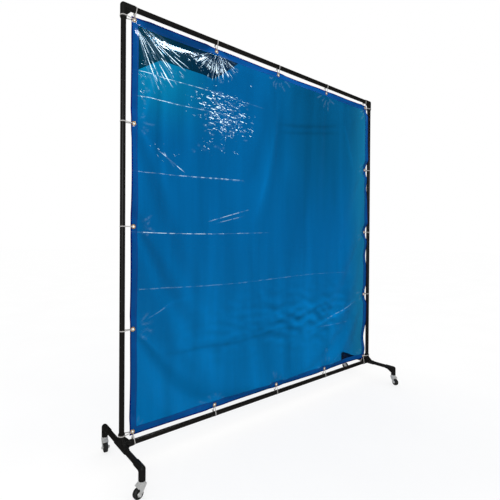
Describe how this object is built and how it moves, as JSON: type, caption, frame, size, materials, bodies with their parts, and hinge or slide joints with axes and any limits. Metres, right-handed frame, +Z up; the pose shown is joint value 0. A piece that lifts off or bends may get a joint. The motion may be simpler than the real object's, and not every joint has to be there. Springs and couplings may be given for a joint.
{
  "type": "welding curtain screen",
  "caption": "Free-standing square tube frame on swivel casters, holding a translucent plastic film curtain tied into it through brass eyelets",
  "frame": {"origin": "On the floor, under the middle of the curtain", "axes": "+Z up, +X along the rails to the right as seen from the front, +Y from the front to the back"},
  "size_m": [1.8687, 0.4296, 1.9065],
  "materials": {
    "tube": "satin black powder coat on thin steel tube",
    "fitting": "black moulded plastic with a fine texture",
    "curtain_film": "glossy translucent blue film",
    "eyelet": "bright pressed brass",
    "cable_tie": "natural milky nylon",
    "stem_insert": "black moulded plastic",
    "zinc": "bright zinc plated steel",
    "bearing_steel": "polished steel balls",
    "wheel_hub": "dark moulded nylon",
    "tyre": "smooth black rubber"
  },
  "bodies": {
    "frame": {"left_upright_tube": "tube", "right_upright_tube": "tube", "top_rail_tube": "tube", "bottom_rail_tube": "tube", "front_left_foot_tube": "tube", "front_right_foot_tube": "tube", "rear_left_foot_tube": "tube", "rear_right_foot_tube": "tube", "top_left_elbow": "fitting", "bottom_left_four_way_fitting": "fitting", "top_right_elbow": "fitting", "bottom_right_four_way_fitting": "fitting", "front_left_leg_elbow": "fitting", "front_right_leg_elbow": "fitting", "rear_left_leg_elbow": "fitting", "rear_right_leg_elbow": "fitting", "curtain_sheet": "curtain_film", "brass_eyelets": "eyelet", "top_cable_ties": "cable_tie", "bottom_cable_ties": "cable_tie", "left_cable_ties": "cable_tie", "right_cable_ties": "cable_tie", "front_left_stem_insert": "stem_insert", "front_left_caster_stem": "zinc", "front_left_bearing_cup": "zinc", "front_left_bearing_balls": "bearing_steel", "front_right_stem_insert": "stem_insert", "front_right_caster_stem": "zinc", "front_right_bearing_cup": "zinc", "front_right_bearing_balls": "bearing_steel", "rear_left_stem_insert": "stem_insert", "rear_left_caster_stem": "zinc", "rear_left_bearing_cup": "zinc", "rear_left_bearing_balls": "bearing_steel", "rear_right_stem_insert": "stem_insert", "rear_right_caster_stem": "zinc", "rear_right_bearing_cup": "zinc", "rear_right_bearing_balls": "bearing_steel"},
    "front_left_swivel": {"front_left_fork": "zinc", "front_left_axle_bolt": "zinc", "front_left_axle_nut": "zinc"},
    "front_left_wheel": {"front_left_wheel_hub": "wheel_hub", "front_left_tyre": "tyre"},
    "front_right_swivel": {"front_right_fork": "zinc", "front_right_axle_bolt": "zinc", "front_right_axle_nut": "zinc"},
    "front_right_wheel": {"front_right_wheel_hub": "wheel_hub", "front_right_tyre": "tyre"},
    "rear_left_swivel": {"rear_left_fork": "zinc", "rear_left_axle_bolt": "zinc", "rear_left_axle_nut": "zinc"},
    "rear_left_wheel": {"rear_left_wheel_hub": "wheel_hub", "rear_left_tyre": "tyre"},
    "rear_right_swivel": {"rear_right_fork": "zinc", "rear_right_axle_bolt": "zinc", "rear_right_axle_nut": "zinc"},
    "rear_right_wheel": {"rear_right_wheel_hub": "wheel_hub", "rear_right_tyre": "tyre"}
  },
  "joints": [
    {"name": "front_left_swivel_turn", "type": "hinge", "parent": "frame", "child": "front_left_swivel", "pos_m": [-0.9, -0.188, 0.055], "axis": [0, 0, 1], "continuous": true},
    {"name": "front_left_wheel_spin", "type": "hinge", "parent": "front_left_swivel", "child": "front_left_wheel", "pos_m": [-0.91594, -0.18939, 0.02], "axis": [0.0872, -0.9962, 0], "continuous": true},
    {"name": "front_right_swivel_turn", "type": "hinge", "parent": "frame", "child": "front_right_swivel", "pos_m": [0.9, -0.188, 0.055], "axis": [0, 0, 1], "continuous": true},
    {"name": "front_right_wheel_spin", "type": "hinge", "parent": "front_right_swivel", "child": "front_right_wheel", "pos_m": [0.89506, -0.20322, 0.02], "axis": [0.9511, -0.309, 0], "continuous": true},
    {"name": "rear_left_swivel_turn", "type": "hinge", "parent": "frame", "child": "rear_left_swivel", "pos_m": [-0.9, 0.188, 0.055], "axis": [0, 0, 1], "continuous": true},
    {"name": "rear_left_wheel_spin", "type": "hinge", "parent": "rear_left_swivel", "child": "rear_left_wheel", "pos_m": [-0.9025, 0.1722, 0.02], "axis": [0.9877, -0.1564, 0], "continuous": true},
    {"name": "rear_right_swivel_turn", "type": "hinge", "parent": "frame", "child": "rear_right_swivel", "pos_m": [0.9, 0.188, 0.055], "axis": [0, 0, 1], "continuous": true},
    {"name": "rear_right_wheel_spin", "type": "hinge", "parent": "rear_right_swivel", "child": "rear_right_wheel", "pos_m": [0.91278, 0.17837, 0.02], "axis": [0.6018, 0.7986, 0], "continuous": true}
  ]
}
